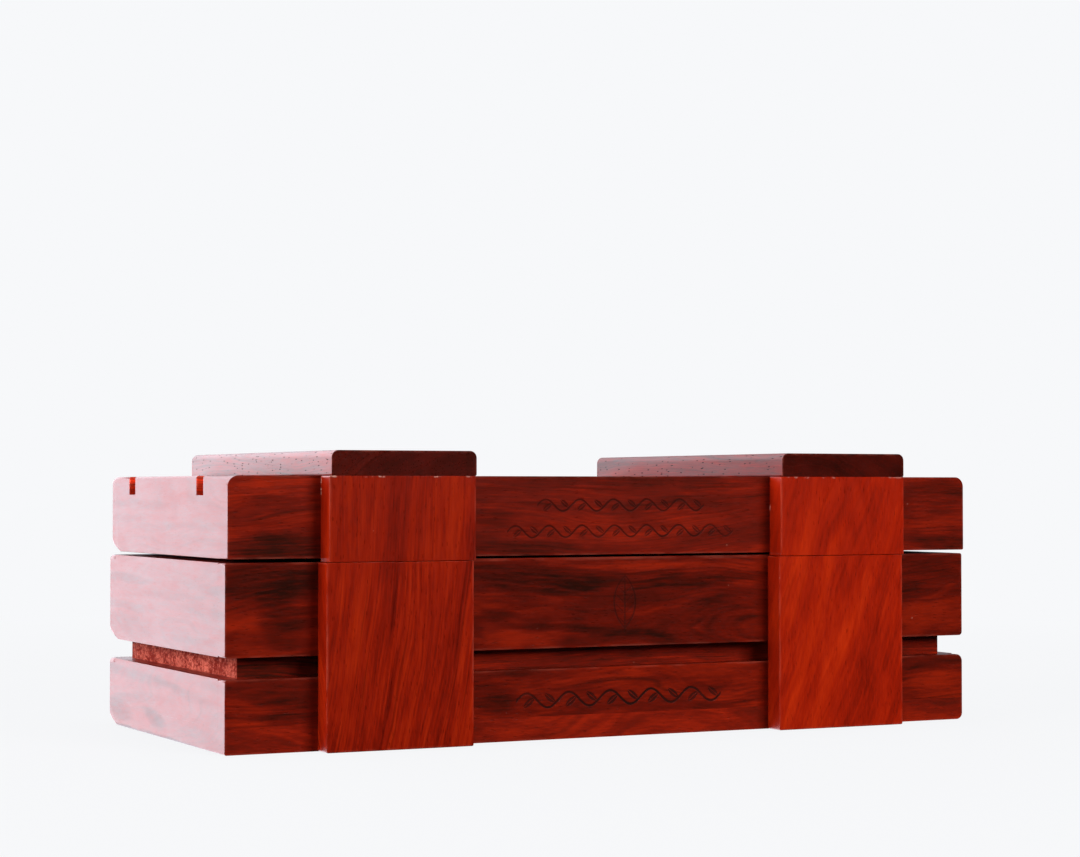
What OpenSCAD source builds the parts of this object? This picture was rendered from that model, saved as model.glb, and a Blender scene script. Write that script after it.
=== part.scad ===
// Crate-style eyeglasses display box: a lidded wooden chest whose closed lid
// carries two cross battens on which a pair of glasses is shown, with room
// inside to store the folded glasses.
// Frame: origin at the centre of the underside, +Z up, -Y is the front.
// Every board is drawn as its own glued or screwed piece.

/* [Carcass] */
// Length over the side boards
box_l = 180; // [160:1:220]
// Depth over the front and back boards, without the straps
box_d = 78; // [70:1:100]
// Thickness of the base board
base_t = 5; // [3:0.5:8]
// Height of the lower course of boards
low_h = 10; // [8:0.5:16]
// Open groove between the two courses of boards
groove_h = 4.4; // [3:0.2:8]
// Height of the upper course of boards
mid_h = 19; // [16:0.2:26]
// Thickness of the outer boards
board_t = 4; // [3:0.5:6]
// Thickness of the inner walls
wall_t = 5; // [5:0.5:7]

/* [Lid] */
// Gap between the lid boards and the body boards
lid_gap = 0.8; // [0.5:0.1:1.5]
// Height of the lid's side boards
lid_h = 12.8; // [11:0.2:20]
// Thickness of the lid panel under the top boards
panel_t = 4; // [3:0.5:5]
// Thickness of the three top boards
top_t = 4; // [3:0.5:6]
// Gap between neighbouring top boards
slot_w = 4.4; // [2:0.1:6]
// Width of the front top board
front_w = 14.9; // [11:0.1:18]
// Width of the back top board
back_w = 12.6; // [11:0.1:18]
// Rounding of the front top board's corners
top_r = 2.2; // [1:0.1:2.5]
// Rounding of the back corners of the lid and the boards
back_r = 3; // [2:0.1:3.5]
// How far the closed lid hangs to the right of the body
lid_shift = 0.5; // [0:0.1:0.8]

/* [Straps and battens] */
// Width of the upright straps
strap_w = 32.7; // [28:0.1:38]
// Thickness of the upright straps
strap_t = 4.8; // [4:0.1:6]
// Distance from the box end to the strap
strap_in = 20; // [14:0.5:28]
// Visible seam between body strap and lid strap
seam = 0.1; // [0.1:0.05:0.4]
// Width of the cross battens on the lid
batten_w = 32.4; // [26:0.1:36]
// Height of the cross battens
batten_t = 5.2; // [4:0.1:8]
// Rounding of the battens' upper long edges
batten_r = 1.5; // [0.5:0.1:2]

/* [Hinges] */
// Width of a hinge leaf, five knuckles long
leaf_w = 25; // [20:1:26]
// Reach of a leaf from the pin's axis
leaf_h = 12; // [11:0.5:12.5]
// Thickness of a leaf
leaf_t = 0.9; // [0.7:0.1:1.2]
// Outer radius of the knuckles
knuckle_r = 1.6; // [1.4:0.1:2]
// Radius of the hinge pin
pin_r = 0.75; // [0.6:0.05:0.8]
// Running clearance of the pin in the knuckles
pin_gap = 0.05; // [0.02:0.01:0.09]
// Screw spacing along the leaf
screw_x = 15; // [12:1:16]
// Screw height above or below the pin's axis
screw_z = 7.6; // [7:0.1:8]
// Screw shank radius
screw_r = 0.8; // [0.6:0.05:0.9]
// Screw head radius
head_r = 1.6; // [1.4:0.1:1.8]
// Screw length under the head's face
screw_l = 7; // [6:0.5:8]

/* [Closure and lining] */
// Radius of the closing magnets
magnet_r = 2; // [1.5:0.1:2]
// Thickness of the closing magnets
magnet_t = 2; // [1:0.5:3]
// Distance of the magnets from the middle
magnet_x = 62; // [40:1:72]
// Height of the floor cushion
cushion_t = 6; // [3:0.5:8]
// Height of the lid pad
pad_t = 2.4; // [1.5:0.1:4]
// Clearance of the cushions from the walls
soft_gap = 0.4; // [0.2:0.1:1]

/* [Hidden] */
$fn = 48;

hl = box_l / 2;
hd = box_d / 2;
z_low = base_t + low_h;
z_mid = z_low + groove_h;
z_rim = z_mid + mid_h;
z_lid = z_rim + lid_gap;
z_top = z_lid + lid_h;
z_deck = z_top + top_t;
z_batten = z_deck + batten_t;
il = hl - board_t;               // outer face of the inner walls, along X
id = hd - board_t;               // outer face of the inner walls, along Y
cl = il - wall_t;                // half the cavity's length
cd = id - wall_t;                // half the cavity's depth
strap_x = hl - strap_in - strap_w / 2;
strap_y = hd + strap_t;          // outer face of the straps
pin_y = strap_y + knuckle_r + 0.1;
pin_z = z_rim + seam / 2;
knuckle_gap = 0.12;
knuckle_w = leaf_w / 5;
batten_xl = -strap_x + 0.8;
batten_xr = strap_x + 0.65;
base_back_r = 2.8;               // easing of the underside's back edge
back_l = 6;                      // length over which a back corner's rounding fades out
crown_h = 0.25;                  // rise of the upper front board's edge between the straps
end_r = 0.5;                     // easing of the other top boards' ends
rub_l = front_w + 1;             // length over which a corner's rounding fades out
rub = 0.54;                      // how far it has moved out of the board by then
rub_a = atan(rub / rub_l);

wood_dark = [0.36, 0.07, 0.04];
wood_mid = [0.47, 0.09, 0.05];
wood_strap = [0.60, 0.15, 0.05];
wood_core = [0.55, 0.22, 0.17];
brass = [0.78, 0.62, 0.30];
steel = [0.72, 0.72, 0.74];
suede = [0.10, 0.09, 0.10];

// Rectangle with its own radius at each corner:
// r = [bottom left, bottom right, top right, top left], 0 for a square corner.
module eased(w, h, r = [0, 0, 0, 0]) {
  difference() {
    square([w, h]);
    corner(0, 0, r[0], 1, 1);
    corner(w, 0, r[1], -1, 1);
    corner(w, h, r[2], -1, -1);
    corner(0, h, r[3], 1, -1);
  }
}

// The waste outside a corner's quarter round; sx and sy point into the board.
module corner(x, y, r, sx, sy) {
  if (r > 0)
    difference() {
      translate([sx > 0 ? x - 1 : x - r, sy > 0 ? y - 1 : y - r])
        square([r + 1, r + 1]);
      translate([x + sx * r, y + sy * r]) circle(r);
    }
}

// Board seen from the front: corners eased in the XZ outline.
module board_xz(x0, x1, y0, y1, z0, z1, r = [0, 0, 0, 0]) {
  translate([x0, y1, z0]) rotate([90, 0, 0])
    linear_extrude(y1 - y0) eased(x1 - x0, z1 - z0, r);
}

module block(x0, x1, y0, y1, z0, z1) {
  translate([x0, y0, z0]) cube([x1 - x0, y1 - y0, z1 - z0]);
}

// Waste of a corner that is rubbed round at the back face and square again
// back_l further in; up is 1 for an upper corner, -1 for a lower one.
module rubbed_back(s, z, up, r) {
  d = r * (1 - sqrt(0.5));
  a = atan(d / back_l);
  translate([s * (hl + d), hd - back_l, z + up * d])
    rotate([-90 - up * a, 0, s * a])
      linear_extrude(back_l + 1) corner(0, 0, r, -s, up);
}
// Board with both of its back corners rubbed.
module rubbed_board(z, up, r) {
  difference() {
    children();
    rubbed_back(-1, z, up, r);
    rubbed_back(1, z, up, r);
  }
}

// ---- body ----
// The underside's back edge is rounded over along its whole length.
module base_board() {
  color(wood_dark) difference() {
    board_xz(-hl, hl, -hd, hd, 0, base_t, [0.4, 1.5, 0, 0]);
    translate([-hl - 1, 0, 0]) rotate([90, 0, 90])
      linear_extrude(box_l + 2) corner(hd, 0, base_back_r, -1, 1);
    rubbed_back(-1, 0, -1, back_r);
    rubbed_back(1, 0, -1, back_r);
  }
}

// Long inner wall, s = -1 front, 1 back; the front one takes the magnets.
module long_wall(s, z0, z1) {
  y0 = s < 0 ? -id : id - wall_t;
  block(-il, il, y0, y0 + wall_t, z0, z1);
}
module short_wall(s, z0, z1) {
  x0 = s < 0 ? -il : il - wall_t;
  block(x0, x0 + wall_t, -cd, cd, z0, z1);
}
module magnet_pair(z0) {
  for (x = [-magnet_x, magnet_x])
    translate([x, -id + wall_t / 2, z0]) cylinder(r = magnet_r, h = magnet_t);
}
module wall_front() {
  color(wood_core) difference() {
    long_wall(-1, base_t, z_rim);
    for (x = [-magnet_x, magnet_x])
      translate([x, -id + wall_t / 2, z_rim - magnet_t])
        cylinder(r = magnet_r, h = magnet_t + 1);
  }
}
module wall_back() { color(wood_core) long_wall(1, base_t, z_rim); }
module wall_left() { color(wood_core) short_wall(-1, base_t, z_rim); }
module wall_right() { color(wood_core) short_wall(1, base_t, z_rim); }

// Front and back boards run the full length and cover the side boards' ends.
module long_board(s, z0, z1, r = [0, 0, 0, 0]) {
  y0 = s < 0 ? -hd : hd - board_t;
  board_xz(-hl, hl, y0, y0 + board_t, z0, z1, r);
}
module short_board(s, z0, z1) {
  x0 = s < 0 ? -hl : hl - board_t;
  block(x0, x0 + board_t, -id, id, z0, z1);
}
module lower_board_front() { color(wood_mid) long_board(-1, base_t, z_low, [0, 0, 1.6, 0.5]); }
module lower_board_back() { color(wood_mid) long_board(1, base_t, z_low, [0, 0, 1, 1]); }
module lower_board_left() { color(wood_mid) short_board(-1, base_t, z_low); }
module lower_board_right() { color(wood_mid) short_board(1, base_t, z_low); }
// Its top edge is crowned a little between the straps, where the seam is finer.
module upper_board_front() {
  color(wood_dark) translate([-hl, board_t - hd, z_mid]) rotate([90, 0, 0])
    linear_extrude(board_t) {
      eased(box_l, z_rim - z_mid, [0.5, 0.8, 0.5, 0.4]);
      translate([hl, z_rim - z_mid])
        polygon([[-strap_x, -1], [strap_x, -1], [strap_x, 0], [strap_x - 12, crown_h],
                 [12 - strap_x, crown_h], [-strap_x, 0]]);
    }
}
module upper_board_back() {
  color(wood_dark) difference() {
    rubbed_board(z_mid, -1, back_r) long_board(1, z_mid, z_rim, [0, 0, 1.1, 1.1]);
    screw_holes(-1);
  }
}
module upper_board_left() {
  color(wood_dark) rubbed_board(z_mid, -1, back_r) short_board(-1, z_mid, z_rim);
}
module upper_board_right() {
  color(wood_dark) rubbed_board(z_mid, -1, back_r) short_board(1, z_mid, z_rim);
}

// Upright strap between two heights, sx -1 left or 1 right, sy -1 front or 1 back.
module strap(sx, sy, z0, z1) {
  y0 = sy < 0 ? -strap_y : hd;
  block(sx * strap_x - strap_w / 2, sx * strap_x + strap_w / 2, y0, y0 + strap_t, z0, z1);
}
module strap_front_left() { color(wood_strap) strap(-1, -1, 0, z_rim); }
module strap_front_right() { color(wood_strap) strap(1, -1, 0, z_rim); }
module strap_back_left() {
  color(wood_strap) difference() { strap(-1, 1, 0, z_rim); screw_holes(-1); }
}
module strap_back_right() {
  color(wood_strap) difference() { strap(1, 1, 0, z_rim); screw_holes(-1); }
}

// ---- lid ----
// The lid's woodwork hangs lid_shift to the right; hinges and magnets don't.
module hung() { translate([lid_shift, 0, 0]) children(); }

module lid_panel() { color(wood_core) hung() block(-il, il, -id, id, z_top - panel_t, z_top); }
module lid_wall_front() {
  color(wood_core) difference() {
    hung() long_wall(-1, z_lid, z_top - panel_t);
    for (x = [-magnet_x, magnet_x])
      translate([x, -id + wall_t / 2, z_lid - 1])
        cylinder(r = magnet_r, h = magnet_t + 1);
  }
}
module lid_wall_back() { color(wood_core) hung() long_wall(1, z_lid, z_top - panel_t); }
module lid_wall_left() { color(wood_core) hung() short_wall(-1, z_lid, z_top - panel_t); }
module lid_wall_right() { color(wood_core) hung() short_wall(1, z_lid, z_top - panel_t); }
module lid_board_front() { color(wood_mid) hung() long_board(-1, z_lid, z_top, [0.3, 0.4, 0, 0]); }
module lid_board_back() {
  color(wood_mid) difference() {
    hung() rubbed_board(z_lid, -1, back_r) long_board(1, z_lid, z_top);
    screw_holes(1);
  }
}
module lid_board_left() {
  color(wood_mid) hung() rubbed_board(z_lid, -1, back_r) short_board(-1, z_lid, z_top);
}
module lid_board_right() {
  color(wood_mid) hung() rubbed_board(z_lid, -1, back_r) short_board(1, z_lid, z_top);
}

module top_board(y0, y1, r) { hung() board_xz(-hl, hl, y0, y1, z_top, z_deck, [0, 0, r, r]); }
// Waste of a corner that is rubbed round at the front face and nearly square
// at the slot.
module rubbed_corner(s) {
  translate([s * (hl + rub), -hd + rub_l, z_deck + rub])
    rotate([90 + rub_a, 0, -s * rub_a])
      linear_extrude(rub_l + 1) corner(0, 0, top_r, -s, -1);
}
module lid_top_board_front() {
  color(wood_mid) difference() {
    top_board(-hd, -hd + front_w, 0);
    hung() rubbed_corner(-1);
    hung() rubbed_corner(1);
  }
}
module lid_top_board_middle() { color(wood_mid) top_board(-hd + front_w + slot_w, hd - back_w - slot_w, end_r); }
module lid_top_board_back() {
  color(wood_mid) hung() rubbed_board(z_deck, 1, 1.6)
    board_xz(-hl, hl, hd - back_w, hd, z_top, z_deck, [0, 0, end_r, end_r]);
}

module lid_strap(sx, sy) { hung() strap(sx, sy, z_rim + seam, z_deck); }
module lid_strap_front_left() { color(wood_strap) lid_strap(-1, -1); }
module lid_strap_front_right() { color(wood_strap) lid_strap(1, -1); }
module lid_strap_back_left() {
  color(wood_strap) difference() { lid_strap(-1, 1); screw_holes(1); }
}
module lid_strap_back_right() {
  color(wood_strap) difference() { lid_strap(1, 1); screw_holes(1); }
}

module batten(x) {
  color(wood_dark)
    board_xz(x - batten_w / 2, x + batten_w / 2, -strap_y, strap_y, z_deck, z_batten,
             [0.4, 0.4, batten_r, batten_r]);
}
module cross_batten_left() { batten(batten_xl); }
module cross_batten_right() { batten(batten_xr); }

// ---- hinges ----
// Leaf with its own knuckles; up = 1 for the lid leaf, -1 for the body leaf.
// The body leaf holds knuckles 0, 2 and 4, the lid leaf 1 and 3.
module leaf(x, up) {
  own = up < 0 ? [0, 2, 4] : [1, 3];
  cut = knuckle_r + 0.15;        // keeps the plate clear of the other leaf's knuckles
  color(brass) translate([x, pin_y, pin_z]) difference() {
    union() {
      // plate, flat on the straps
      translate([-leaf_w / 2, strap_y - pin_y, up > 0 ? cut : -leaf_h])
        cube([leaf_w, leaf_t, leaf_h - cut]);
      for (i = own) {
        x0 = -leaf_w / 2 + i * knuckle_w + (i > 0 ? knuckle_gap / 2 : 0);
        w = knuckle_w - (i > 0 && i < 4 ? knuckle_gap : knuckle_gap / 2);
        translate([x0, 0, 0]) rotate([0, 90, 0]) cylinder(r = knuckle_r, h = w);
        // tab that joins the knuckle to the plate
        translate([x0, strap_y - pin_y, up > 0 ? 0 : -cut - 0.5])
          cube([w, leaf_t, cut + 0.5]);
      }
    }
    translate([-leaf_w, 0, 0]) rotate([0, 90, 0]) cylinder(r = pin_r + pin_gap, h = 2 * leaf_w);
    // countersunk screw holes
    for (sx = [-1, 1])
      translate([sx * screw_x / 2, strap_y - pin_y, up * screw_z]) rotate([-90, 0, 0]) {
        translate([0, 0, -1]) cylinder(r = screw_r, h = 4);
        cylinder(r1 = screw_r, r2 = head_r, h = leaf_t);
        translate([0, 0, leaf_t]) cylinder(r = head_r, h = 1);
      }
  }
}
module hinge_body_leaf_left() { leaf(-strap_x, -1); }
module hinge_body_leaf_right() { leaf(strap_x, -1); }
module hinge_lid_leaf_left() { leaf(-strap_x, 1); }
module hinge_lid_leaf_right() { leaf(strap_x, 1); }

// Pin with a peened head at each end.
module pin(x) {
  color(steel) translate([x, pin_y, pin_z]) rotate([0, 90, 0]) {
    translate([0, 0, -leaf_w / 2]) cylinder(r = pin_r, h = leaf_w);
    translate([0, 0, -leaf_w / 2 - 0.7]) cylinder(r1 = 0.7, r2 = 1.2, h = 0.7);
    translate([0, 0, leaf_w / 2]) cylinder(r1 = 1.2, r2 = 0.7, h = 0.7);
  }
}
module hinge_pin_left() { pin(-strap_x); }
module hinge_pin_right() { pin(strap_x); }

// Where the screws stand: up = 1 for the lid's, -1 for the body's.
module at_screws(up) {
  for (sx = [-1, 1], dx = [-1, 1])
    translate([sx * strap_x + dx * screw_x / 2, strap_y + leaf_t, pin_z + up * screw_z])
      rotate([90, 0, 0]) children();
}
module screw_holes(up) { at_screws(up) cylinder(r = screw_r, h = screw_l + 0.2); }
module screws(up) {
  color(brass) at_screws(up) difference() {
    union() {
      cylinder(r1 = head_r, r2 = screw_r, h = leaf_t);
      cylinder(r = screw_r, h = screw_l);
    }
    translate([-2, -0.2, -0.4]) cube([4, 0.4, 0.8]);
  }
}
module hinge_body_screws() { screws(-1); }
module hinge_lid_screws() { screws(1); }

// ---- closure and lining ----
module body_magnets() { color(steel) magnet_pair(z_rim - magnet_t); }
module lid_magnets() { color(steel) magnet_pair(z_lid); }
module floor_cushion() {
  color(suede) block(-cl + soft_gap, cl - soft_gap, -cd + soft_gap, cd - soft_gap,
                     base_t, base_t + cushion_t);
}
module lid_pad() {
  z1 = z_top - panel_t;
  color(suede) hung() block(-cl + soft_gap, cl - soft_gap, -cd + soft_gap, cd - soft_gap,
                            z1 - pad_t, z1);
}

base_board();
wall_front();
wall_back();
wall_left();
wall_right();
lower_board_front();
lower_board_back();
lower_board_left();
lower_board_right();
upper_board_front();
upper_board_back();
upper_board_left();
upper_board_right();
strap_front_left();
strap_front_right();
strap_back_left();
strap_back_right();
lid_panel();
lid_wall_front();
lid_wall_back();
lid_wall_left();
lid_wall_right();
lid_board_front();
lid_board_back();
lid_board_left();
lid_board_right();
lid_top_board_front();
lid_top_board_middle();
lid_top_board_back();
lid_strap_front_left();
lid_strap_front_right();
lid_strap_back_left();
lid_strap_back_right();
cross_batten_left();
cross_batten_right();
hinge_body_leaf_left();
hinge_body_leaf_right();
hinge_lid_leaf_left();
hinge_lid_leaf_right();
hinge_pin_left();
hinge_pin_right();
hinge_body_screws();
hinge_lid_screws();
body_magnets();
lid_magnets();
floor_cushion();
lid_pad();
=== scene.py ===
# A small padauk box with a hinged lid, straps, brass hinges and suede pads.
# The long side runs along X, the front faces -Y, and the box stands on z = 0.
import bpy, bmesh, math
from functools import partialmethod, reduce
from types import SimpleNamespace
from mathutils import Vector, Matrix, noise as mnoise


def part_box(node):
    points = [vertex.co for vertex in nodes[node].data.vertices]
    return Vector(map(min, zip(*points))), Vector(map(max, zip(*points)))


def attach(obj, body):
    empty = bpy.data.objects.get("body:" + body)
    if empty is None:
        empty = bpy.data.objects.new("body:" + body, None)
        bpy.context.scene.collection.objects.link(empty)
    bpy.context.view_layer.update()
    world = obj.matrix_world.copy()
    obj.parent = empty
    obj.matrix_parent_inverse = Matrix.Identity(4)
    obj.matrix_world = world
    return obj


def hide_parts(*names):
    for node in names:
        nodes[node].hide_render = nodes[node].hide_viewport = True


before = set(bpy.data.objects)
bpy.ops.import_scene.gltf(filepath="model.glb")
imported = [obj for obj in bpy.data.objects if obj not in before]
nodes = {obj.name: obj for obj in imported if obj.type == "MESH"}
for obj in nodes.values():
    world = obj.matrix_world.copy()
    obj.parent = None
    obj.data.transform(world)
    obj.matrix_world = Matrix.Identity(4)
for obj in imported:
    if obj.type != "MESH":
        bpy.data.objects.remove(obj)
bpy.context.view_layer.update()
MM = 0.001


# ---------------------------------------------------------------- node helpers

class Field:
    """A node socket that takes part in arithmetic; every operation adds one node."""

    def __init__(self, tree, socket):
        self.tree = tree
        self.socket = socket

    def apply(self, operation, *others):
        kind = "ShaderNodeMath" if self.socket.type == "VALUE" else "ShaderNodeVectorMath"
        output = "Value" if operation == "LENGTH" else 0
        inputs = dict(enumerate((self, *others)))
        return self.tree.field(kind, inputs, output, operation=operation)

    __add__ = partialmethod(apply, "ADD")
    __sub__ = partialmethod(apply, "SUBTRACT")
    __mul__ = partialmethod(apply, "MULTIPLY")
    __truediv__ = partialmethod(apply, "DIVIDE")
    __mod__ = partialmethod(apply, "MODULO")
    __pow__ = partialmethod(apply, "POWER")
    __abs__ = partialmethod(apply, "ABSOLUTE")
    __gt__ = partialmethod(apply, "GREATER_THAN")
    __lt__ = partialmethod(apply, "LESS_THAN")
    muladd = partialmethod(apply, "MULTIPLY_ADD")       # self * factor + offset
    larger = partialmethod(apply, "MAXIMUM")
    smaller = partialmethod(apply, "MINIMUM")
    length = partialmethod(apply, "LENGTH")

    def clamped(self):
        """Makes the node behind this field clamp its result to 0..1."""
        self.socket.node.use_clamp = True
        return self

    def cells(self, x, y, z):
        """The place counted in cells of this size."""
        return self * (1 / x, 1 / y, 1 / z)

    def split(self):
        node = self.tree.node("ShaderNodeSeparateXYZ", {0: self})
        return [Field(self.tree, socket) for socket in node.outputs]

    def eased(self, start, stop):
        """0 at start, 1 at stop, eased between; start may be the larger."""
        inputs = {
            "Value": self,
            "From Min": min(start, stop), "From Max": max(start, stop),
            "To Min": float(start > stop), "To Max": float(start <= stop),
        }
        return self.tree.field("ShaderNodeMapRange", inputs, interpolation_type="SMOOTHSTEP")


class Tree:
    """Adds nodes to a node tree."""

    def __init__(self, node_tree):
        self.nodes = node_tree.nodes
        self.links = node_tree.links

    def put(self, socket, value):
        if isinstance(value, Field):
            self.links.new(value.socket, socket)
        elif socket.type == "RGBA":
            socket.default_value = (*value, 1.0)
        else:
            socket.default_value = value

    def node(self, kind, inputs=None, **settings):
        node = self.nodes.new(kind)
        for name, value in settings.items():
            setattr(node, name, value)
        for key, value in (inputs or {}).items():
            self.put(node.inputs[key], value)
        return node

    def field(self, kind, inputs=None, output=0, **settings):
        return Field(self, self.node(kind, inputs, **settings).outputs[output])

    def combine(self, x, y, z):
        return self.field("ShaderNodeCombineXYZ", {0: x, 1: y, 2: z})

    def mix(self, factor, first, second):
        return self.field("ShaderNodeMix", {0: factor, 6: first, 7: second}, 2,
                          data_type="RGBA", blend_type="MIX", clamp_factor=True)

    def noise(self, place, detail, rough=0.5, scale=1.0, output="Fac"):
        inputs = {"Vector": place, "Scale": scale, "Detail": detail, "Roughness": rough}
        return self.field("ShaderNodeTexNoise", inputs, output, noise_dimensions="3D")

    def noise_vector(self, place, detail=1):
        """Three noises at once, centred on zero."""
        return self.noise(place, detail, output="Color") - (0.5, 0.5, 0.5)

    def dots(self, place, rim, core, channel=0, above=0.5):
        """A dot in some of the cells: 0 at radius rim, 1 at radius core. A cell is
        used where this channel of its random colour is above the limit."""
        cell = self.node("ShaderNodeTexVoronoi",
                         {"Vector": place, "Scale": 1.0, "Randomness": 1.0},
                         voronoi_dimensions="3D", feature="F1")
        dot = Field(self, cell.outputs["Distance"]).eased(rim, core)
        return dot * (Field(self, cell.outputs["Color"]).split()[channel] > above)

    def object_space(self):
        """Object-space place in millimetres, and the normal."""
        outputs = self.node("ShaderNodeTexCoord").outputs
        place = Field(self, outputs["Object"]) * (1 / MM,) * 3 if False else \
            Field(self, outputs["Object"]) * (1000.0, 1000.0, 1000.0)
        return place, Field(self, outputs["Normal"])

    def bump(self, height, strength=1.0):
        """The normal over a relief given in millimetres."""
        return self.field("ShaderNodeBump",
                          {"Strength": strength, "Distance": MM, "Height": height})


def emptied_tree(owner):
    """The owner's node tree with its default nodes removed."""
    owner.use_nodes = True
    owner.node_tree.nodes.clear()
    return Tree(owner.node_tree)


def srgb(red, green, blue):
    """sRGB 0-255 to linear."""
    def linear(c):
        return c / 12.92 if c <= 0.04045 else ((c + 0.055) / 1.055) ** 2.4
    return (linear(red / 255), linear(green / 255), linear(blue / 255))


def weighted(total, *terms):
    """The total plus each field times its weight."""
    for field, weight in terms:
        total = field.muladd(weight, total)
    return total


# ------------------------------------------------------------- the wood group
# Solid padauk in board space: millimetres, grain along local X. Everything is a
# field in the solid, so faces, end grain and corners agree.

GROUP_VECTORS = ("Q", "N", "Seed", "Pith")          # Q is the place, N the normal
GROUP_COLORS = ("Dark", "Mid", "Light", "RawDark", "RawLight")
GROUP_FLOATS = {
    "Slant": 0.0, "Bow": 0.0, "Width": 1.0,         # lean, curve and width of the rings
    "Streak": 0.5, "Smoke": 0.5, "EndTone": 0.5,    # strength of bands, clouds, end grain
    "Wear": 0.5, "Specks": 0.3, "Pores": 0.4,
    "Burn": 0.0, "Shade": 0.0, "Rough": 0.4,
    "Saw": 0.0, "EndSaw": 0.0,                      # rough-sawn all over, or on the ends
    "Edge": 9.0, "Seam": 9.0,                       # distance to open and joined edges
    "Chips": 0.2,
}
GROUP_OUTPUTS = {"Color": "NodeSocketColor", "Roughness": "NodeSocketFloat",
                 "Height": "NodeSocketFloat", "Spec": "NodeSocketFloat"}


def add_interface(group):
    def add_inputs(kind, defaults):
        for name, value in defaults.items():
            socket = group.interface.new_socket(name, in_out="INPUT", socket_type=kind)
            socket.default_value = value

    add_inputs("NodeSocketVector", dict.fromkeys(GROUP_VECTORS, (0, 0, 0)))
    add_inputs("NodeSocketColor", dict.fromkeys(GROUP_COLORS, (0.1, 0.01, 0.004, 1)))
    add_inputs("NodeSocketFloat", GROUP_FLOATS)
    for name, kind in GROUP_OUTPUTS.items():
        group.interface.new_socket(name, in_out="OUTPUT", socket_type=kind)


def grain_fields(tree, knob):
    """The noises that make up the figure of the wood."""
    seed = knob["Seed"]
    place = knob["Q"] + seed
    # the grain wanders: a broad and a fine warp across the grain
    broad = tree.noise_vector(place.cells(70, 26, 26))
    fine = tree.noise_vector(place.cells(20, 5, 5))
    warp = broad * (0, 8, 8) + fine * (0, 1.3, 1.3)
    x = knob["Q"].split()[0]
    slant = x * knob["Slant"]
    arc = x * x * knob["Bow"]
    lean = tree.combine(0.0, slant + arc, slant.muladd(0.3, arc))
    bent = knob["Q"] + warp + lean
    ring = ((bent - knob["Pith"]) * (0, 1, 1)).length() / knob["Width"]
    seed_x, seed_y, seed_z = seed.split()
    along = x + seed_x

    def ringed(cell_along, cell_across, offset, detail, rough):
        cell = tree.combine(along * (1 / cell_along), ring * (1 / cell_across), offset)
        return tree.noise(cell, detail, rough)

    return SimpleNamespace(
        place=place,
        band=ringed(100, 2.4, seed_y, detail=3, rough=0.6),     # growth bands
        line=ringed(45, 0.62, seed_z, detail=2, rough=0.6),     # thin late-wood lines
        hair=ringed(12, 0.26, seed_y, detail=1, rough=0.5),
        smoke=tree.noise((bent + seed).cells(36, 8, 8), detail=4, rough=0.6),
        fibre=tree.noise(place.cells(3.2, 0.3, 0.3), detail=3, rough=0.65),
        mottle=tree.noise(place.cells(9, 2.6, 2.6), detail=3, rough=0.6),
    )


def figure_color(tree, knob, grain):
    """Colour of the planed wood, with its late-wood lines and pores."""
    dark = knob["Dark"]
    tone = ((grain.band - 0.5) * (knob["Streak"] * 2.2)
            + (grain.smoke - 0.5) * (knob["Smoke"] * 2.6))
    tone += (grain.hair - 0.5) * (knob["Streak"] * 1.5)
    tone += (grain.fibre - 0.5) * 0.7
    tone += (grain.mottle - 0.5) * 0.55
    # the Shade patches darken or lighten the wood: mostly its own tone, and painted shadow on the
    # groove wall and along the bottom of the lower left board
    patch = knob["Shade"] * (grain.band - 0.5).muladd(0.9, 0.44)
    tone = (tone - patch + 0.5).clamped()
    lower_half = tree.mix((tone * 2.0).clamped(), dark, knob["Mid"])
    color = tree.mix(tone.muladd(2.0, -1.0).clamped(), lower_half, knob["Light"])
    # thin dark lines
    grain.late = grain.line.eased(0.57, 0.72) * knob["Streak"]
    color = tree.mix((grain.late * 0.9).clamped(), color, dark)
    # open pores: short dark flecks along the grain
    grain.pore = tree.dots(grain.place.cells(2.4, 0.5, 0.5), rim=0.26, core=0.14) * knob["Pores"]
    return tree.mix(grain.pore, color, tree.mix(0.5, dark, (0.004, 0.001, 0.001)))


def end_and_sawn_color(tree, knob, grain, color):
    """Adds the end grain and the rough-sawn faces."""
    place = grain.place
    end = abs(knob["N"].split()[0]).eased(0.55, 0.85)
    dots = tree.dots(place.cells(40, 0.42, 0.42), rim=0.45, core=0.2, channel=1)
    end_color = tree.mix(0.72, color, knob["Dark"])
    end_color = tree.mix(dots * 0.30, end_color, knob["Mid"])
    color = tree.mix(end * knob["EndTone"], color, end_color)
    # rough-sawn faces: raw fibres, torn and speckled
    grain.saw = knob["Saw"].larger(end * knob["EndSaw"])
    grain.torn = tree.noise(place.cells(0.9, 0.7, 0.7), detail=4, rough=0.7)
    broad = tree.noise(place.cells(7, 5, 5), detail=2)
    rawness = (grain.torn - 0.5) * 2.6 + broad.muladd(1.2, -0.25)
    raw = tree.mix(rawness.eased(0.0, 0.9), knob["RawDark"], knob["RawLight"])
    return tree.mix(grain.saw, color, raw)


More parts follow.
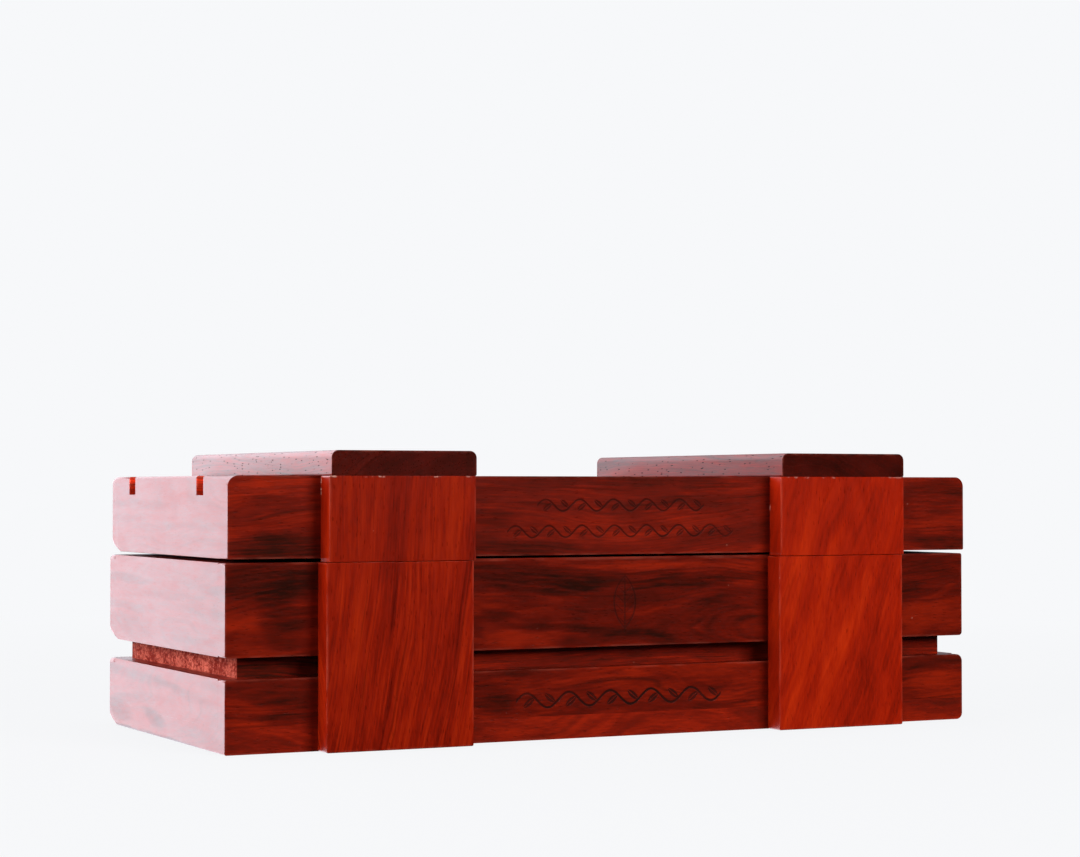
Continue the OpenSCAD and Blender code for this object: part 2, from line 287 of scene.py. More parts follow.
def marked_color(tree, knob, grain, color):
    """Adds wear, joint residue, dust and the burnt-in ornament."""
    place = grain.place
    # edges rubbed pale here and there
    patchy = tree.noise(place.cells(6, 2.5, 2.5), detail=3, rough=0.6)
    grain.worn = knob["Edge"].eased(0.55, 0.08) * patchy.eased(0.36, 0.66) * knob["Wear"]
    rubbed = tree.mix(0.4, knob["Light"], (0.50, 0.17, 0.12))
    color = tree.mix(grain.worn * 0.6, color, rubbed)
    # dry glue and dust in the joints
    crumbs = tree.noise(place.cells(1.7, 1.7, 1.7), detail=2, rough=0.6)
    clusters = tree.noise(place.cells(9, 9, 9), detail=1)
    chip = (crumbs.muladd(-0.5, knob["Seam"]).eased(0.12, -0.06)
            * clusters.muladd(0.8, crumbs).eased(0.92, 1.06))
    grain.chip = (chip * knob["Chips"]).clamped()
    color = tree.mix(grain.chip, color, (0.62, 0.36, 0.30))
    # a little dust caught in the surface
    dust = tree.dots(place.cells(8, 8, 8), rim=0.034, core=0.012, channel=2)
    color = tree.mix(dust * knob["Specks"], color, (0.55, 0.30, 0.24))
    grain.burn = (knob["Burn"] * grain.smoke.muladd(1.3, 0.25)).clamped()
    return tree.mix(grain.burn, color, (0.016, 0.005, 0.004))


def make_padauk():
    group = bpy.data.node_groups.new("padauk", "ShaderNodeTree")
    add_interface(group)
    tree = Tree(group)
    knob = {socket.name: Field(tree, socket)
            for socket in tree.node("NodeGroupInput").outputs}
    grain = grain_fields(tree, knob)
    color = figure_color(tree, knob, grain)
    color = end_and_sawn_color(tree, knob, grain, color)
    color = marked_color(tree, knob, grain, color)
    roughness = weighted(
        knob["Rough"], (grain.fibre - 0.5, 0.14), (grain.mottle - 0.5, 0.12),
        (grain.pore, 0.25), (grain.worn, 0.12), (grain.burn, 0.3), (grain.saw, 0.4))
    specular = weighted(
        0.52, (grain.band.eased(0.44, 0.62), -0.10), (knob["Shade"].larger(0.0), -0.13),
        (grain.smoke.eased(0.46, 0.64), -0.10), (grain.late, -0.09),
        (grain.pore, -0.3), (grain.saw, -0.3))
    height = weighted(
        (grain.fibre - 0.5) * 0.010, (grain.line - 0.5, 0.010), (grain.pore, -0.04),
        (grain.mottle - 0.5, 0.03), (grain.burn, -0.08), (grain.chip, 0.1),
        (grain.saw * (grain.torn - 0.5), 0.9))
    tree.node("NodeGroupOutput", {
        "Color": color, "Roughness": roughness.clamped(),
        "Height": height, "Spec": specular.clamped()})
    return group


PADAUK = make_padauk()

# ------------------------------------------------------ open and joined edges

NOT_WOOD = ("floor_cushion", "lid_pad")
boxes = {name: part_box(name) for name in nodes
         if not name.startswith("hinge") and not name.endswith("magnets")
         and name not in NOT_WOOD}
# leave out the crowned top edge of the upper front board
boxes["upper_board_front"][1].z = boxes["upper_board_left"][1].z


def inside_other(point, own_name):
    slack = 0.02 * MM
    for name, (low, high) in boxes.items():
        if name != own_name and all(low[i] - slack < point[i] < high[i] + slack
                                    for i in range(3)):
            return True
    return False


def is_joined(name, start, end, normal_1, normal_2):
    """Does a neighbour lie flush against either face along most of the edge?"""
    samples = 7
    hits = 0
    for i in range(samples):
        point = start.lerp(end, (i + 0.5) / samples)
        if (inside_other(point + normal_1 * 0.09 * MM - normal_2 * 0.3 * MM, name)
                or inside_other(point + normal_2 * 0.09 * MM - normal_1 * 0.3 * MM, name)):
            hits += 1
    return hits / samples > 0.5


def box_edges(name):
    """Open and joined edges of a box, each as two (axis, side) pairs across the edge."""
    box = boxes[name]
    open_edges, joined_edges = [], []
    for axis in range(3):
        across_1, across_2 = [i for i in range(3) if i != axis]
        for side_1 in (0, 1):
            for side_2 in (0, 1):
                start, end = box[0].copy(), box[0].copy()
                end[axis] = box[1][axis]
                for point in (start, end):
                    point[across_1] = box[side_1][across_1]
                    point[across_2] = box[side_2][across_2]
                normal_1, normal_2 = Vector(), Vector()
                normal_1[across_1] = (-1, 1)[side_1]
                normal_2[across_2] = (-1, 1)[side_2]
                joined = is_joined(name, start, end, normal_1, normal_2)
                group = joined_edges if joined else open_edges
                group.append(((across_1, side_1), (across_2, side_2)))
    return open_edges, joined_edges


def edge_distances(place, name):
    """Distances in mm from the shading point to the nearest open and joined edge."""
    box = boxes[name]
    parts = place.split()
    to_face = {(i, side): abs(parts[i] - box[side][i] / MM) for i in range(3) for side in (0, 1)}
    nearest = []
    for edges in box_edges(name):
        distances = [to_face[one].larger(to_face[other]) for one, other in edges]
        nearest.append(reduce(lambda best, one: best.smaller(one), distances)
                       if distances else 9.0)
    return nearest


# ---------------------------------------------------------- burnt-in ornament
# A leafy vine in three rows and one upright leaf, in mm on the front faces.

def almond(tree, along, across, half_length, half_width):
    """Signed distance to a pointed oval."""
    radius = (half_length * half_length + half_width * half_width) / (2 * half_width)
    offset = tree.combine(along, abs(across) + (radius - half_width), 0.0)
    return offset.length() - radius


def vine(tree, x, z, start, stop, middle, swing, period, line):
    """A sine stem from start to stop along X, with one leaf under every arch."""
    wave = 2 * math.pi / period
    half = period / 2
    phase = (x - start) * wave
    sine = phase.apply("SINE")
    rise = z - middle
    slope = phase.apply("COSINE") * (swing * wave)
    steepness = (slope ** 2.0 + 1.0).apply("SQRT")
    stem = (abs(rise - sine * swing) / steepness).eased(line * 0.75, line * 0.3)
    # the leaf, in a frame turned about its own middle
    tilt = math.radians(38)
    arch_x = ((x - start) + 40 * period) % half - half * 0.5
    arch_z = rise * sine.apply("SIGN")
    leaf_x, leaf_z = 0.10 * half, -0.28 * swing
    x_off = arch_x - leaf_x
    z_off = arch_z - leaf_z
    along = x_off * math.cos(tilt) + z_off * math.sin(tilt)
    across = x_off * -math.sin(tilt) + z_off * math.cos(tilt)
    outline = almond(tree, along, across, half_length=0.34 * half, half_width=0.13 * half)
    leaf = outline.eased(0.07, -0.07) * abs(across).eased(0.03, 0.12)
    return stem.larger(leaf * 0.85) * ((x > start) * (x < stop))


def front_only(mask, normal):
    return mask * (normal.split()[1] < -0.7)


def burn_lid(tree, place, normal):
    x, y, z = place.split()
    upper = vine(tree, x, z, start=-20.2, stop=20.8, middle=49.8, swing=1.25,
                 period=8.2, line=0.36)
    lower = vine(tree, x, z, start=-27.3, stop=28.3, middle=44.2, swing=1.25,
                 period=7.94, line=0.36)
    return front_only(upper.larger(lower) * 0.85, normal)


def burn_lower(tree, place, normal):
    x, y, z = place.split()
    row = vine(tree, x, z, start=-25.2, stop=25.0, middle=8.4, swing=1.55,
               period=10.04, line=0.46)
    return front_only(row * 0.95, normal)


def burn_upper(tree, place, normal):
    """One upright leaf with a midrib and slanted side ribs."""
    leaf_x, leaf_z = 1.0, 28.9
    size = dict(half_length=5.6, half_width=2.6)
    rib_pitch = 2.2
    x, y, z = place.split()
    across = x - leaf_x
    along = z - leaf_z
    outline = abs(almond(tree, along, across, **size))
    midrib = abs(across).eased(0.24, 0.1) * (abs(along + 0.7) < 5.9)
    ribs = (((along + 30.0) - abs(across) * 0.9) / rib_pitch).apply("FRACT")
    ribs = abs(ribs - 0.5).eased(0.10, 0.04) * (almond(tree, along, across, **size) < -0.3)
    leaf = outline.eased(0.26, 0.1).larger(midrib.larger(ribs * 0.7))
    return front_only(leaf * 0.6, normal)


# ------------------------------------------------- darker and lighter patches
# Columns: place along the board, z, half length, half height (mm), slope,
# strength (+ darker, - lighter).

LID_FRONT = [
    (-79, 54.0, 9, 2.2, 0, -0.3), (-79, 46.5, 11, 3.5, 0, 0.15), (-78, 51.0, 9, 1.0, 0, 0.3),
    (-78, 41.5, 12, 3.0, 0.02, 0.75), (-26, 40.6, 14, 1.6, 0, 0.55), (-31, 47.3, 6, 1.8, 0, 0.4),
    (10, 44.5, 26, 4.0, 0, -0.25), (84, 53.7, 9, 1.7, 0, 0.6), (83, 48.0, 9, 3.2, 0, -0.15),
    (85, 41.0, 8, 1.6, 0, 0.55)]
UPPER_FRONT = [
    (-80, 34.8, 12, 3.6, 0, 0.65), (-79, 29.0, 12, 5, 0, 0.18), (-88, 27.0, 7, 2.2, -0.1, -0.45),
    (-77, 25.5, 6, 6.5, -0.4, 0.45), (-20, 34.4, 18, 3.4, -0.14, 0.6),
    (14, 36.6, 26, 1.1, 0, -0.45), (22, 33.6, 18, 1.3, 0.05, 0.65), (-30, 26.6, 5, 1.3, 0, 0.6),
    (-6, 23.0, 22, 1.0, -0.07, 0.6), (-24, 21.6, 11, 1.7, 0, -0.5), (18, 27.5, 9, 3.6, 0, -0.1),
    (0, 30, 34, 7, 0, 0.22), (30, 24.8, 4, 1.0, 0.1, 0.6), (8, 29.5, 8, 2.5, 0, 0.25),
    (83, 35.2, 10, 2.6, 0, 0.45), (76, 31.0, 3, 1.4, 0, 0.4), (83, 24.5, 14, 4.6, 0, -0.6)]
LOWER_FRONT = [
    (-77, 11.2, 8, 2.6, 0, 0.55), (-87, 9.0, 5, 4.0, 0, -0.3), (-77, 7.2, 9, 0.8, 0, 0.4),
    (-31, 9.4, 6, 3.0, 0, 0.55), (-19, 11.0, 5, 1.3, 0, 0.3), (14, 11.5, 20, 3.0, 0, 0.12),
    (78, 12.5, 6, 0.7, 0, 0.55), (84, 8.5, 9, 3.6, 0, -0.75)]
LID_LEFT = [
    (20, 50.0, 25.6, 0.875, 0.01, 0.25), (-10, 45.5, 41.6, 0.75, -0.01, 0.23),
    (28, 46.8, 12.8, 0.75, 0, 0.2), (-28, 42.8, 19.2, 0.875, 0.02, 0.2)]
UPPER_LEFT = [
    (26, 33.4, 19.2, 1, 0.01, 0.4), (-33, 33.0, 11.2, 1.25, 0, 0.4),
    (27, 27.4, 22.4, 1, 0.02, 0.4), (24, 23.0, 17.6, 2.5, 0.05, 0.35),
    (-26, 28.2, 17.6, 1.375, 0.03, 0.35), (-4, 30.5, 32, 0.75, -0.02, 0.25),
    (-20, 21.8, 16, 0.875, 0, 0.2)]
# the first row is painted shadow: a dark line along the bottom edge, where the box meets the
# floor
LOWER_LEFT = [
    (8, 0.0, 30, 0.7, 0, 1.2), (6, 3.6, 8, 1.875, 0.12, 0.7), (33, 3.8, 9.6, 2.25, 0.05, 0.6),
    (20, 12.2, 32, 1.375, 0.02, 0.45), (-14, 10.8, 19.2, 1.125, 0.06, 0.35),
    (18, 7.4, 19.2, 1.125, -0.06, 0.3), (-32, 12.8, 9.6, 1.125, 0, 0.3),
    (-25, 2.6, 14.4, 1.25, 0.05, 0.25)]
# painted shadow on the groove wall, where the boards above shade it
WALL_FRONT_PAINTED_SHADOW = [(-75, 17, 12, 7, 0, 1.1), (30, 17, 8, 7, 0, 0.4), (78, 17, 9, 7, 0, 0.45)]


def patch_field(tree, place, patches, along):
    """The summed patches with wobbly outlines; along is 0 for X, 1 for Y."""
    wobble = tree.noise_vector(place.cells(13, 17, 2.5), detail=3)
    parts = (place + wobble * (9, 9, 2.6)).split()
    x, z = parts[along], parts[2]
    fields = []
    for x0, z0, half_x, half_z, slope, strength in patches:
        dx = x.muladd(1 / half_x, -x0 / half_x)
        dz = z.muladd(1 / half_z, x.muladd(-slope / half_z, (slope * x0 - z0) / half_z))
        fields.append((dx * dx + dz * dz).eased(1.7, 0.1) * strength)
    return sum(fields[1:], fields[0])


# ------------------------------------------------------------- wood materials

# palettes: (dark, mid, light)
BOARD = (srgb(42, 14, 8), srgb(100, 18, 6), srgb(146, 31, 7))
END = (srgb(70, 16, 10), srgb(112, 18, 8), srgb(134, 26, 12))
STRAP = (srgb(96, 11, 2), srgb(156, 27, 3), srgb(190, 46, 8))
BATTEN = (srgb(30, 8, 4), srgb(108, 20, 12), srgb(144, 34, 22))
RAW_DARK, RAW_LIGHT = srgb(112, 26, 17), srgb(190, 92, 76)

# inputs of the wood group unless a board says otherwise
USUAL_KNOBS = dict(
    Slant=0.0, Bow=0.0, Width=1.0, Streak=0.5, Smoke=0.5, EndTone=0.6, Wear=0.45,
    Specks=0.25, Pores=0.35, Rough=0.40, Saw=0.0, EndSaw=0.0, Chips=0.0)


def along_grain(parts, axis):
    """Reorders x, y, z so that the grain lies on X."""
    x, y, z = parts
    return {"X": (x, y, z), "Y": (y, x, z), "Z": (z, x, y)}[axis]


def wood_material(name, axis, seed, pith, palette=BOARD, gain=1.0, coat=0.12, spec_gain=1.0,
                  origin=None, chips=0.0, fresh=0.0, burn=None, shade=None, **knobs):
    """Wood for one board. Capitalised knobs are inputs of the wood group."""
    knobs = {**USUAL_KNOBS, **knobs}
    low, high = boxes[name]
    if origin is None:
        origin = tuple((low + high) / 2 / MM)
    material = bpy.data.materials.new("wood_" + name)
    tree = emptied_tree(material)
    place, normal = tree.object_space()
    local = (place - origin).split()
    normal_parts = normal.split()
    dark, mid, light = [tuple(gain * c for c in color) for color in palette]
    wood = tree.node("ShaderNodeGroup", {
        "Q": tree.combine(*along_grain(local, axis)),
        "N": tree.combine(*along_grain(normal_parts, axis)),
        "Seed": (seed * 37.7 % 311, seed * 17.3 % 97, seed * 29.1 % 131),
        "Pith": (0, *pith),
        "Dark": dark, "Mid": mid, "Light": light,
        "RawDark": RAW_DARK, "RawLight": RAW_LIGHT,
        **knobs}, node_tree=PADAUK)
    if chips:       # glue and dust stay in the upper corners
        tree.put(wood.inputs["Chips"], place.split()[2].eased(43.0, 45.0) * chips)
    if knobs["Saw"]:    # only towards the ends of the box
        tree.put(wood.inputs["Saw"], abs(place.split()[0]).eased(84.8, 85.6) * knobs["Saw"])
    to_open, to_joined = edge_distances(place, name)
    tree.put(wood.inputs["Edge"], to_open)
    tree.put(wood.inputs["Seam"], to_joined)
    if burn:
        tree.put(wood.inputs["Burn"], burn(tree, place, normal))
    if shade:
        along = 1 if axis == "Y" else 0
        tree.put(wood.inputs["Shade"], patch_field(tree, place, shade, along))
    color, roughness, height, specular = [Field(tree, wood.outputs[key]) for key in GROUP_OUTPUTS]
    relief = tree.bump(height)
    if fresh:       # painted light: faces turned to the front are brightened, standing in for light reaching the walls of the lid-top slots
        painted_light_boost = (normal_parts[1] * -1.0).eased(0.5, 0.8).muladd(fresh, 1.0)
        color = color * tree.combine(painted_light_boost, painted_light_boost, painted_light_boost)
    surface = tree.field("ShaderNodeBsdfPrincipled", {
        "Base Color": color, "Roughness": roughness,
        "Specular IOR Level": specular * spec_gain, "IOR": 1.5,
        "Coat Weight": coat, "Coat Roughness": 0.3,
        "Normal": relief, "Coat Normal": relief})
    tree.node("ShaderNodeOutputMaterial", {0: surface})
    return material


SIDE_WOOD = dict(palette=END, Streak=0.24, Smoke=0.12, Pores=0.10, Wear=0.25, Specks=0.1,
                 EndTone=0.1)
STRAP_WOOD = dict(palette=STRAP, Pores=0.4, Wear=0.5)
BATTEN_WOOD = dict(palette=BATTEN, Streak=0.4, Smoke=0.3, EndTone=1.0, Pores=1.0)
INNER_WOOD = dict(Rough=0.5, coat=0.0)
SAWN_WOOD = dict(Rough=0.6, Saw=1.0, coat=0.0)

# The front lid board and the top board behind its edge are one piece of wood, and
# each lid strap continues the body strap below it.
LID_FRONT_GRAIN = ("X", 14.4, (30, 30))
LID_FRONT_WOOD = dict(Streak=0.46, Smoke=0.25, shade=LID_FRONT, origin=(0.5, -37, 45.6))
STRAP_GRAIN = {
    "front_left": ("Z", 10.6, (62, 40)), "front_right": ("Z", 11.2, (-70, 46)),
    "back_left": ("Z", 12.8, (-50, -40)), "back_right": ("Z", 13.5, (52, -44))}
FRONT_LEFT = dict(STRAP_WOOD, Slant=-0.10, Bow=0.0016, Width=1.3, Smoke=0.3)
FRONT_RIGHT = dict(STRAP_WOOD, Slant=-0.42, Width=2.3)
BACK_LEFT = dict(STRAP_WOOD, Slant=0.04, Width=1.4, Streak=0.5, Smoke=0.35, gain=0.9)
BACK_RIGHT = dict(STRAP_WOOD, Slant=-0.06, Width=1.4, Streak=0.5, Smoke=0.35, gain=0.95)


def strap(corner, x, wood, **changes):
    """A strap's row; x is where its grain is centred."""
    y = -41.4 if corner.startswith("front") else 41.4
    return (*STRAP_GRAIN[corner], dict(wood, origin=(x, y, 28), **changes))


# name: grain axis, seed, pith across the grain (mm), everything else
WOODS = {
    # body boards
    "base_board": ("X", 1.3, (90, 40), dict(Streak=0.4, Smoke=0.25, gain=1.25)),
    "lower_board_front": ("X", 2.1, (34, 14), dict(
        Streak=0.48, Smoke=0.25, burn=burn_lower, shade=LOWER_FRONT, gain=0.92)),
    "lower_board_back": ("X", 3.7, (-34, 14), dict(Streak=0.6, Smoke=0.45)),
    "lower_board_left": ("Y", 4.9, (60, 12), dict(
        SIDE_WOOD, Slant=0.06, shade=LOWER_LEFT, Streak=0.3, Smoke=0.3)),
    "lower_board_right": ("Y", 5.3, (-30, -12), dict(Streak=0.5, Smoke=0.4)),
    "upper_board_front": ("X", 6.2, (16, -7), dict(
        Streak=0.45, Smoke=0.35, burn=burn_upper, shade=UPPER_FRONT, gain=0.82)),
    "upper_board_back": ("X", 7.7, (-20, 6), dict(Streak=0.5, Smoke=0.6, gain=0.9)),
    "upper_board_left": ("Y", 8.4, (56, -6), dict(SIDE_WOOD, Slant=-0.03, shade=UPPER_LEFT)),
    "upper_board_right": ("Y", 9.1, (-26, 9), {}),
    "strap_front_left": strap("front_left", -53.65, FRONT_LEFT, Streak=0.6, gain=0.68),
    "strap_front_right": strap("front_right", 53.65, FRONT_RIGHT, Streak=0.3, gain=0.88),
    "strap_back_left": strap("back_left", -53.65, BACK_LEFT),
    "strap_back_right": strap("back_right", 53.65, BACK_RIGHT),
    # lid boards
    "lid_board_front": (*LID_FRONT_GRAIN, dict(LID_FRONT_WOOD, burn=burn_lid)),
    "lid_board_back": ("X", 15.9, (-30, 26), dict(Streak=0.55, Smoke=0.4)),
    "lid_board_left": ("Y", 16.3, (60, 16), dict(SIDE_WOOD, shade=LID_LEFT)),
    "lid_board_right": ("Y", 17.7, (-30, 16), dict(Smoke=0.4)),
    "lid_top_board_front": (*LID_FRONT_GRAIN, LID_FRONT_WOOD),
    # painted light: the two inner lid-top boards are a little brighter overall and much brighter
    # on their front faces, which are the slot walls
    "lid_top_board_middle": ("X", 19.6, (6, -34), dict(
        Width=1.3, Streak=0.55, gain=1.1, fresh=3.0)),
    "lid_top_board_back": ("X", 20.2, (-20, -32), dict(
        Streak=0.55, Smoke=0.4, gain=1.05, fresh=3.0)),
    "lid_strap_front_left": strap("front_left", -53.15, FRONT_LEFT,
                                  Streak=0.55, gain=0.64, chips=0.6),
    "lid_strap_front_right": strap("front_right", 54.15, FRONT_RIGHT,
                                   Streak=0.25, Smoke=0.4, gain=0.88, chips=0.3),
    "lid_strap_back_left": strap("back_left", -53.15, BACK_LEFT),
    "lid_strap_back_right": strap("back_right", 54.15, BACK_RIGHT),
    "cross_batten_left": ("Y", 24.7, (18, -40), BATTEN_WOOD),
    # painted shade: the right batten is darker and less glossy than the left, standing in for the
    # shade of the eyeglasses that rest on the battens
    "cross_batten_right": ("Y", 25.1, (-18, -40), dict(
        BATTEN_WOOD, spec_gain=0.62, coat=0.0, gain=0.85)),
    # inner walls
    # painted light and shade: the groove wall is brightened overall and darkened in patches where
    # shadow falls
    "wall_front": ("X", 26.2, (30, 30), dict(
        INNER_WOOD, gain=1.15, EndSaw=1.0, shade=WALL_FRONT_PAINTED_SHADOW)),
    "wall_back": ("X", 27.9, (-30, 30), dict(INNER_WOOD, gain=1.2, EndSaw=1.0)),
    "wall_left": ("Y", 28.4, (30, 30), SAWN_WOOD),
    "wall_right": ("Y", 29.8, (-30, 30), SAWN_WOOD),
    "lid_panel": ("X", 30.3, (8, 44), INNER_WOOD),
    "lid_wall_front": ("X", 31.6, (30, 30), INNER_WOOD),
    "lid_wall_back": ("X", 32.2, (-30, 30), INNER_WOOD),
    "lid_wall_left": ("Y", 33.9, (30, 30), INNER_WOOD),
    "lid_wall_right": ("Y", 34.5, (-30, 30), INNER_WOOD),
}

# boards whose end faces carry the wood of the side boards, by the side boards' prefix
SAME_ENDS = {
    "lid_board": ("lid_top_board_front", "lid_top_board_middle", "lid_top_board_back",
                  "lid_board_front", "lid_board_back"),
    "lower_board": ("lower_board_front", "lower_board_back", "base_board"),
    "upper_board": ("upper_board_front", "upper_board_back"),
}


def set_material(piece, material):
    piece.data.materials.clear()
    piece.data.materials.append(material)


def edge_key(start, end):
    """The same for equal edges of different meshes: end points in whole micrometres."""
    return frozenset(tuple(round(c * 1e6) for c in point) for point in (start, end))


def weigh_edges(name):
    """Bevel weights: full on open edges, a trace where a neighbour lies flush."""
    mesh = nodes[name].data
    low, high = boxes[name]
    welded = bmesh.new()
    welded.from_mesh(mesh)
    bmesh.ops.remove_doubles(welded, verts=welded.verts, dist=1e-6)
    weights = {}
    for edge in welded.edges:
        if len(edge.link_faces) != 2:
            continue
        normals = [face.normal for face in edge.link_faces]
        if normals[0].angle(normals[1], 0.0) < math.radians(35):
            continue
        start, end = [vertex.co for vertex in edge.verts]
        middle = (start + end) / 2
        near = sum(min(middle[i] - low[i], high[i] - middle[i]) < 3.6 * MM for i in range(3))
        if near < 3 and min(max(abs(c) for c in normal) for normal in normals) < 0.999:
            continue                                # the mouth of a bore stays sharp
        joined = is_joined(name, start, end, *normals)
        weights[edge_key(start, end)] = 0.06 if joined else 1.0
    welded.free()
    attribute = mesh.attributes.new("bevel_weight_edge", "FLOAT", "EDGE")
    for i, edge in enumerate(mesh.edges):
        start, end = [mesh.vertices[vertex].co for vertex in edge.vertices]
        attribute.data[i].value = weights.get(edge_key(start, end), 0.0)


def ease_edges(piece, width, segments=2, by_weight=False):
    """Rounds the sharp edges with modifiers; the mesh itself stays as it came."""
    weld = piece.modifiers.new("weld", "WELD")
    weld.merge_threshold = 1e-6
    bevel = piece.modifiers.new("ease", "BEVEL")
    bevel.width = width
    bevel.segments = segments
    if by_weight:
        bevel.limit_method = "WEIGHT"
    else:
        bevel.limit_method = "ANGLE"
        bevel.angle_limit = math.radians(50)
    bevel.use_clamp_overlap = True
    bevel.miter_outer = "MITER_ARC"
    shading = piece.modifiers.new("shade", "WEIGHTED_NORMAL")
    shading.keep_sharp = False
    shading.weight = 100


def share_ends(name, sides):
    """Gives the board's end faces the side boards' wood, so the end reads as one face."""
    mesh = nodes[name].data
    for side in ("_left", "_right"):
        mesh.materials.append(nodes[sides + side].data.materials[0])
    for face in mesh.polygons:
        if abs(face.normal.x) > 0.5:
            face.material_index = 1 if face.normal.x < 0 else 2


for name, (axis, seed, pith, options) in WOODS.items():
    set_material(nodes[name], wood_material(name, axis, seed, pith, **options))
    weigh_edges(name)
    ease_edges(nodes[name], (0.35 if "board" in name else 0.3) * MM, by_weight=True)
for sides, boards in SAME_ENDS.items():
    for name in boards:
        share_ends(name, sides)

# ------------------------------------------------------------------ metalwork

# material, base and tarnish colour, roughness and its spread,
# bevel width (mm), bevel segments, pieces
METALS = [
    ("hinge_brass", (0.72, 0.50, 0.20), (0.42, 0.26, 0.10), 0.30, 0.192, 0.10, 2,
     ("hinge_body_leaf_left", "hinge_body_leaf_right",
      "hinge_lid_leaf_left", "hinge_lid_leaf_right")),
    ("screw_brass", (0.76, 0.55, 0.24), (0.36, 0.22, 0.09), 0.27, 0.192, 0.05, 1,
     ("hinge_body_screws", "hinge_lid_screws")),
    ("pin_steel", (0.56, 0.54, 0.50), (0.30, 0.27, 0.23), 0.28, 0.192, 0.10, 2,
     ("hinge_pin_left", "hinge_pin_right")),
    ("magnet_nickel", (0.66, 0.65, 0.63), (0.46, 0.44, 0.41), 0.16, 0.064, 0.12, 2,
     ("body_magnets", "lid_magnets")),
]


def metal_material(name, base, tarnish, rough, spread):
    """Metal brushed along X, with blotches and fine spots of tarnish."""
    material = bpy.data.materials.new(name)
    tree = emptied_tree(material)
    place, _ = tree.object_space()
    brush = tree.noise(place * (0.25, 9, 9), detail=3, rough=0.6)
    blotch = tree.noise(place, detail=3, rough=0.6, scale=0.55)
    fine = tree.noise(place, detail=2, scale=3.0)
    color = tree.mix(blotch.eased(0.40, 0.72) * 0.4, base, tarnish)
    color = tree.mix(fine.eased(0.62, 0.8) * 0.5, color, tarnish)
    roughness = weighted(rough, (brush - 0.5, spread), (blotch.eased(0.4, 0.72), 0.15))
    surface = tree.field("ShaderNodeBsdfPrincipled", {
        "Metallic": 1.0, "Base Color": color, "Roughness": roughness,
        "Normal": tree.bump(brush * 0.012)})
    tree.node("ShaderNodeOutputMaterial", {0: surface})
    return material


for name, base, tarnish, rough, spread, bevel_width, segments, pieces in METALS:
    metal = metal_material(name, base, tarnish, rough, spread)
    for piece in pieces:
        set_material(nodes[piece], metal)
        ease_edges(nodes[piece], bevel_width * MM, segments)


# -------------------------------------------------------------------- lining

def suede_material():
    material = bpy.data.materials.new("lining_suede")
    tree = emptied_tree(material)
    place, _ = tree.object_space()
    nap = tree.noise(place, detail=4, rough=0.7, scale=3.5)
    brushed = tree.noise(place * (0.07, 0.13, 0.1), detail=3, rough=0.55)
    lint = tree.dots(place.cells(5, 5, 5), rim=0.04, core=0.015, above=0.6)
    color = tree.mix(brushed.eased(0.38, 0.62), (0.010, 0.009, 0.010), (0.030, 0.027, 0.028))
    color = tree.mix(nap.eased(0.45, 0.7) * 0.5, color, (0.055, 0.048, 0.050))
    color = tree.mix(lint * 0.4, color, (0.30, 0.28, 0.27))
    surface = tree.field("ShaderNodeBsdfPrincipled", {
        "Base Color": color, "Roughness": nap.muladd(0.15, 0.82),
        "Sheen Weight": 0.6, "Sheen Roughness": 0.45, "Sheen Tint": (0.55, 0.50, 0.52),
        "Specular IOR Level": 0.2, "Normal": tree.bump(nap * 0.10, strength=0.8)})
    tree.node("ShaderNodeOutputMaterial", {0: surface})
    return material


SUEDE = suede_material()

BLANK_INSET = 0.9 * MM          # the blank is this much smaller than its room all round
BLANK_CORNER = 2.2 * MM
VOXEL = 1.35 * MM
CLOTH_SCALE = 8.0               # the cloth is simulated this much larger
CLOTH_CACHE_END = 22
CLOTH_FRAMES = 20
TUFT_RADIUS = 1.7 * MM          # held down by the stitch
DIMPLE_RADIUS = 9.0 * MM
PAD_CLEARANCE = 0.12 * MM       # kept inside the room on the glued side
PAD_SIDE_SLACK = 0.25 * MM
PAD_FACE_SLACK = 0.2 * MM       # may pass the room on the open side


def link_object(name, data):
    piece = bpy.data.objects.new(name, data)
    bpy.context.scene.collection.objects.link(piece)
    return piece


def mesh_object(name, shape):
    mesh = bpy.data.meshes.new(name)
    shape.to_mesh(mesh)
    shape.free()
    return link_object(name, mesh)


def rounded_slab(name, low, high):
    """A thin pad blank with rounded plan corners."""
    shape = bmesh.new()
    inset = BLANK_INSET
    corner = BLANK_CORNER
    left, right = low.x + inset + corner, high.x - inset - corner
    front, back = low.y + inset + corner, high.y - inset - corner
    outline = []
    for x, y, first_angle in ((right, back, 0), (left, back, 90),
                              (left, front, 180), (right, front, 270)):
        for i in range(7):
            angle = math.radians(first_angle + 15 * i)
            outline.append((x + corner * math.cos(angle), y + corner * math.sin(angle)))
    bottom = [shape.verts.new((x, y, low.z)) for x, y in outline]
    top = [shape.verts.new((x, y, high.z)) for x, y in outline]
    shape.faces.new(list(reversed(bottom)))
    shape.faces.new(top)
    for i in range(len(outline)):
        after = (i + 1) % len(outline)
        shape.faces.new((bottom[i], bottom[after], top[after], top[i]))
    return mesh_object(name, shape)


def apply_modifiers(piece):
    bpy.context.view_layer.update()
    graph = bpy.context.evaluated_depsgraph_get()
    mesh = bpy.data.meshes.new_from_object(
        piece.evaluated_get(graph), preserve_all_data_layers=False, depsgraph=graph)
    piece.modifiers.clear()
    old = piece.data
    piece.data = mesh
    bpy.data.meshes.remove(old)


